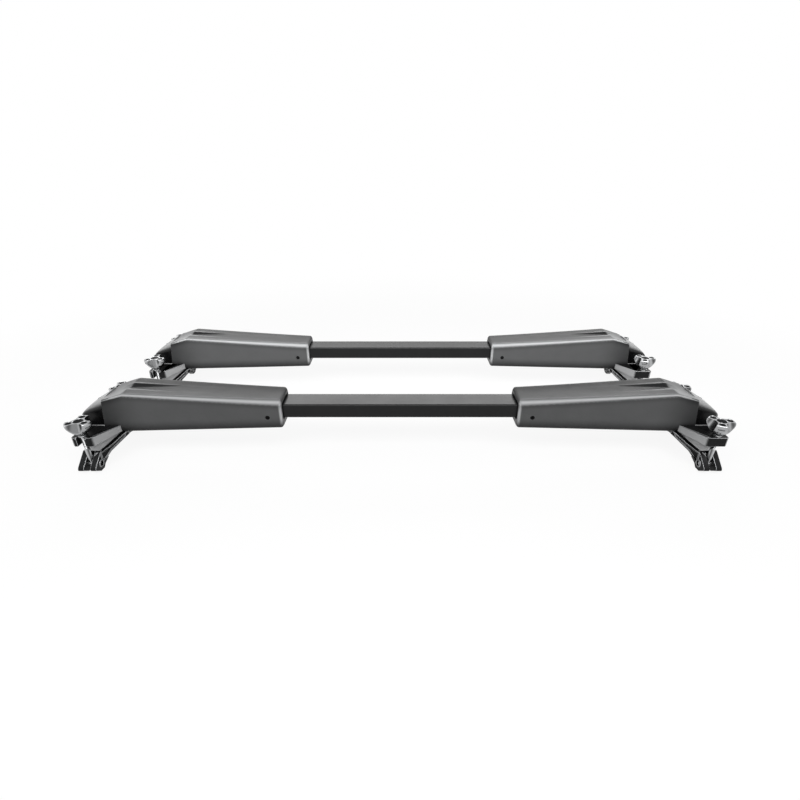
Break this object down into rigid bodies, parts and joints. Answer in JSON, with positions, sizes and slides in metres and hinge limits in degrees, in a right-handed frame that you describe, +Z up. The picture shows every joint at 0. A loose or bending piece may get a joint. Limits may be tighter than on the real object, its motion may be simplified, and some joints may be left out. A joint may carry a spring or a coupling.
{
  "type": "surfboard roof rack",
  "caption": "Pair of roof crossbars with sloping cradle pads, end covers and bolt-down clamp feet closed by lobed hand knobs.",
  "frame": {"origin": "on the ground, midway between the four feet", "axes": "+X to the right along the bars, +Y from the front bar to the rear bar, +Z up"},
  "size_m": [1.236, 0.5018, 0.1416],
  "materials": {
    "bar": "black anodised, fine satin",
    "pad": "moulded, soft satin dark grey",
    "cover": "glossy black",
    "casting": "cast, black powder coat",
    "rubber": "black rubber",
    "steel": "bright zinc plated",
    "knob": "satin silver",
    "inlay": "glossy black"
  },
  "bodies": {
    "rack": {"bar_front": "bar", "bar_rear": "bar", "hinge_pins": "steel", "pad_screws": "steel", "cover_screws": "cover", "foot_bolts": "steel", "upper_jaw_rubbers": "rubber", "pad_front_left": "pad", "pad_front_right": "pad", "pad_rear_left": "pad", "pad_rear_right": "pad", "cover_front_left": "cover", "cover_front_right": "cover", "cover_rear_left": "cover", "cover_rear_right": "cover", "foot_front_left": "casting", "foot_front_right": "casting", "foot_rear_left": "casting", "foot_rear_right": "casting"},
    "jaw_front_left": {"lower_jaw_front_left": "casting", "jaw_rubber_front_left": "rubber", "bolt_front_left_2": "steel"},
    "swing_bolt_front_left": {"bolt_front_left_1": "steel"},
    "washer_front_left_1": {"washer_front_left_1": "steel"},
    "knob_front_left_1": {"knob_front_left_1": "knob", "inlay_front_left_1": "inlay"},
    "washer_front_left_2": {"washer_front_left_2": "steel"},
    "knob_front_left_2": {"knob_front_left_2": "knob", "inlay_front_left_2": "inlay"},
    "jaw_front_right": {"lower_jaw_front_right": "casting", "jaw_rubber_front_right": "rubber", "bolt_front_right_1": "steel"},
    "swing_bolt_front_right": {"bolt_front_right_2": "steel"},
    "washer_front_right_1": {"washer_front_right_1": "steel"},
    "knob_front_right_1": {"knob_front_right_1": "knob", "inlay_front_right_1": "inlay"},
    "washer_front_right_2": {"washer_front_right_2": "steel"},
    "knob_front_right_2": {"knob_front_right_2": "knob", "inlay_front_right_2": "inlay"},
    "jaw_rear_left": {"lower_jaw_rear_left": "casting", "jaw_rubber_rear_left": "rubber", "bolt_rear_left_2": "steel"},
    "swing_bolt_rear_left": {"bolt_rear_left_1": "steel"},
    "washer_rear_left_1": {"washer_rear_left_1": "steel"},
    "knob_rear_left_1": {"knob_rear_left_1": "knob", "inlay_rear_left_1": "inlay"},
    "washer_rear_left_2": {"washer_rear_left_2": "steel"},
    "knob_rear_left_2": {"knob_rear_left_2": "knob", "inlay_rear_left_2": "inlay"},
    "jaw_rear_right": {"lower_jaw_rear_right": "casting", "jaw_rubber_rear_right": "rubber", "bolt_rear_right_1": "steel"},
    "swing_bolt_rear_right": {"bolt_rear_right_2": "steel"},
    "washer_rear_right_1": {"washer_rear_right_1": "steel"},
    "knob_rear_right_1": {"knob_rear_right_1": "knob", "inlay_rear_right_1": "inlay"},
    "washer_rear_right_2": {"washer_rear_right_2": "steel"},
    "knob_rear_right_2": {"knob_rear_right_2": "knob", "inlay_rear_right_2": "inlay"}
  },
  "joints": [
    {"name": "jaw_hinge_front_left", "type": "hinge", "parent": "rack", "child": "jaw_front_left", "pos_m": [-0.52, -0.1525, 0.0655], "axis": [0, -1, 0], "range_deg": [0, 10]},
    {"name": "bolt_swing_front_left", "type": "hinge", "parent": "jaw_front_left", "child": "swing_bolt_front_left", "pos_m": [-0.5855, -0.2275, 0.013], "axis": [1, 0, 0], "range_deg": [0, 75]},
    {"name": "washer_slide_front_left_1", "type": "slide", "parent": "swing_bolt_front_left", "child": "washer_front_left_1", "axis": [0, 0, 1], "range_m": [0, 0.014]},
    {"name": "knob_turn_front_left_1", "type": "hinge", "parent": "washer_front_left_1", "child": "knob_front_left_1", "pos_m": [-0.5855, -0.2275, 0.08], "axis": [0, 0, 1], "continuous": true},
    {"name": "washer_slide_front_left_2", "type": "slide", "parent": "jaw_front_left", "child": "washer_front_left_2", "axis": [0, 0, 1], "range_m": [0, 0.014]},
    {"name": "knob_turn_front_left_2", "type": "hinge", "parent": "washer_front_left_2", "child": "knob_front_left_2", "pos_m": [-0.5855, -0.0775, 0.08], "axis": [0, 0, 1], "continuous": true},
    {"name": "jaw_hinge_front_right", "type": "hinge", "parent": "rack", "child": "jaw_front_right", "pos_m": [0.52, -0.1525, 0.0655], "axis": [0, 1, 0], "range_deg": [0, 10]},
    {"name": "bolt_swing_front_right", "type": "hinge", "parent": "jaw_front_right", "child": "swing_bolt_front_right", "pos_m": [0.5855, -0.0775, 0.013], "axis": [-1, 0, 0], "range_deg": [0, 75]},
    {"name": "washer_slide_front_right_1", "type": "slide", "parent": "jaw_front_right", "child": "washer_front_right_1", "axis": [0, 0, 1], "range_m": [0, 0.014]},
    {"name": "knob_turn_front_right_1", "type": "hinge", "parent": "washer_front_right_1", "child": "knob_front_right_1", "pos_m": [0.5855, -0.2275, 0.08], "axis": [0, 0, 1], "continuous": true},
    {"name": "washer_slide_front_right_2", "type": "slide", "parent": "swing_bolt_front_right", "child": "washer_front_right_2", "axis": [0, 0, 1], "range_m": [0, 0.014]},
    {"name": "knob_turn_front_right_2", "type": "hinge", "parent": "washer_front_right_2", "child": "knob_front_right_2", "pos_m": [0.5855, -0.0775, 0.08], "axis": [0, 0, 1], "continuous": true},
    {"name": "jaw_hinge_rear_left", "type": "hinge", "parent": "rack", "child": "jaw_rear_left", "pos_m": [-0.52, 0.1525, 0.0655], "axis": [0, -1, 0], "range_deg": [0, 10]},
    {"name": "bolt_swing_rear_left", "type": "hinge", "parent": "jaw_rear_left", "child": "swing_bolt_rear_left", "pos_m": [-0.5855, 0.0775, 0.013], "axis": [1, 0, 0], "range_deg": [0, 75]},
    {"name": "washer_slide_rear_left_1", "type": "slide", "parent": "swing_bolt_rear_left", "child": "washer_rear_left_1", "axis": [0, 0, 1], "range_m": [0, 0.014]},
    {"name": "knob_turn_rear_left_1", "type": "hinge", "parent": "washer_rear_left_1", "child": "knob_rear_left_1", "pos_m": [-0.5855, 0.0775, 0.08], "axis": [0, 0, 1], "continuous": true},
    {"name": "washer_slide_rear_left_2", "type": "slide", "parent": "jaw_rear_left", "child": "washer_rear_left_2", "axis": [0, 0, 1], "range_m": [0, 0.014]},
    {"name": "knob_turn_rear_left_2", "type": "hinge", "parent": "washer_rear_left_2", "child": "knob_rear_left_2", "pos_m": [-0.5855, 0.2275, 0.08], "axis": [0, 0, 1], "continuous": true},
    {"name": "jaw_hinge_rear_right", "type": "hinge", "parent": "rack", "child": "jaw_rear_right", "pos_m": [0.52, 0.1525, 0.0655], "axis": [0, 1, 0], "range_deg": [0, 10]},
    {"name": "bolt_swing_rear_right", "type": "hinge", "parent": "jaw_rear_right", "child": "swing_bolt_rear_right", "pos_m": [0.5855, 0.2275, 0.013], "axis": [-1, 0, 0], "range_deg": [0, 75]},
    {"name": "washer_slide_rear_right_1", "type": "slide", "parent": "jaw_rear_right", "child": "washer_rear_right_1", "axis": [0, 0, 1], "range_m": [0, 0.014]},
    {"name": "knob_turn_rear_right_1", "type": "hinge", "parent": "washer_rear_right_1", "child": "knob_rear_right_1", "pos_m": [0.5855, 0.0775, 0.08], "axis": [0, 0, 1], "continuous": true},
    {"name": "washer_slide_rear_right_2", "type": "slide", "parent": "swing_bolt_rear_right", "child": "washer_rear_right_2", "axis": [0, 0, 1], "range_m": [0, 0.014]},
    {"name": "knob_turn_rear_right_2", "type": "hinge", "parent": "washer_rear_right_2", "child": "knob_rear_right_2", "pos_m": [0.5855, 0.2275, 0.08], "axis": [0, 0, 1], "continuous": true}
  ],
  "couplings": [
    {"joint": "washer_slide_front_left_1", "follows": "jaw_hinge_front_left", "m_per_rad": 0.0802},
    {"joint": "washer_slide_front_left_2", "follows": "jaw_hinge_front_left", "m_per_rad": 0.0802},
    {"joint": "washer_slide_front_right_1", "follows": "jaw_hinge_front_right", "m_per_rad": 0.0802},
    {"joint": "washer_slide_front_right_2", "follows": "jaw_hinge_front_right", "m_per_rad": 0.0802},
    {"joint": "washer_slide_rear_left_1", "follows": "jaw_hinge_rear_left", "m_per_rad": 0.0802},
    {"joint": "washer_slide_rear_left_2", "follows": "jaw_hinge_rear_left", "m_per_rad": 0.0802},
    {"joint": "washer_slide_rear_right_1", "follows": "jaw_hinge_rear_right", "m_per_rad": 0.0802},
    {"joint": "washer_slide_rear_right_2", "follows": "jaw_hinge_rear_right", "m_per_rad": 0.0802}
  ]
}
